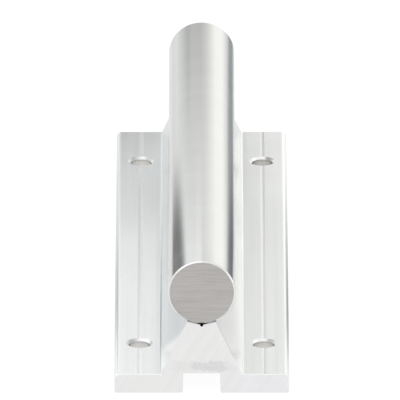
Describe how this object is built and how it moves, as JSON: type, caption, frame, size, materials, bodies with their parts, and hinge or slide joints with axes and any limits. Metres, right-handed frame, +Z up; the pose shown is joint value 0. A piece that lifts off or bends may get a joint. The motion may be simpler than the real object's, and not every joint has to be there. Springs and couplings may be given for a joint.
{
  "type": "supported linear shaft",
  "caption": "Round steel guide shaft screwed from below to the V seat of a T-shaped aluminium rail with drilled base flanges, for an open linear bearing to run on.",
  "frame": {"origin": "middle of the underside of the rail", "axes": "+Y along the shaft, +X across the rail, +Z up from the mounting surface"},
  "size_m": [0.052, 0.2, 0.042],
  "materials": {
    "rail_aluminium": "mill finish extrusion with saw-cut ends",
    "shaft_steel": "polished",
    "screw_steel": "black oxide"
  },
  "bodies": {
    "root": {"support_rail": "rail_aluminium", "linear_shaft": "shaft_steel", "shaft_screw_front": "screw_steel", "shaft_screw_rear": "screw_steel"}
  },
  "joints": []
}
